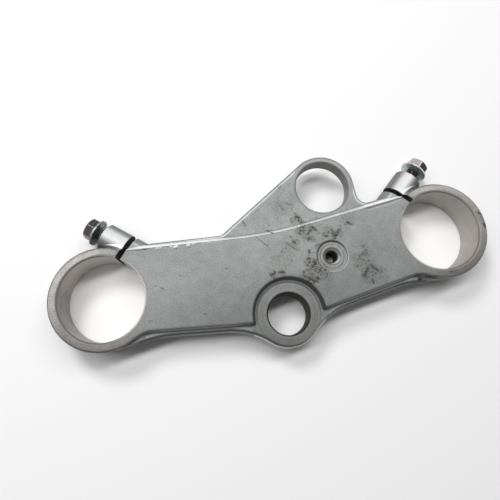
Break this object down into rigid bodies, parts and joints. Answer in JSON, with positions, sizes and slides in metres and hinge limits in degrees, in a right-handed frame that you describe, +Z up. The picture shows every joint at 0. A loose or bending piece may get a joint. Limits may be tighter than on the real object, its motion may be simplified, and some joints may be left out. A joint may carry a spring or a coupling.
{
  "type": "motorcycle triple clamp",
  "caption": "Cast aluminium upper fork yoke: split rings pinched by flange bolts, a stem boss, a lug for the ignition switch and a tapped accessory hole, painted silver and worn.",
  "frame": {"origin": "on the steering stem axis, at the underside of the stem boss", "axes": "+X across the bike to the right, +Y forward towards the switch lug, +Z up along the stem"},
  "size_m": [0.2718, 0.115, 0.0225],
  "materials": {
    "cast_aluminium": "cast, painted silver, worn, with bored rings left bare",
    "zinc_steel": "zinc plated, dulled"
  },
  "bodies": {
    "root": {"clamp_body": "cast_aluminium", "pinch_bolt_left": "zinc_steel", "pinch_bolt_right": "zinc_steel"}
  },
  "joints": []
}
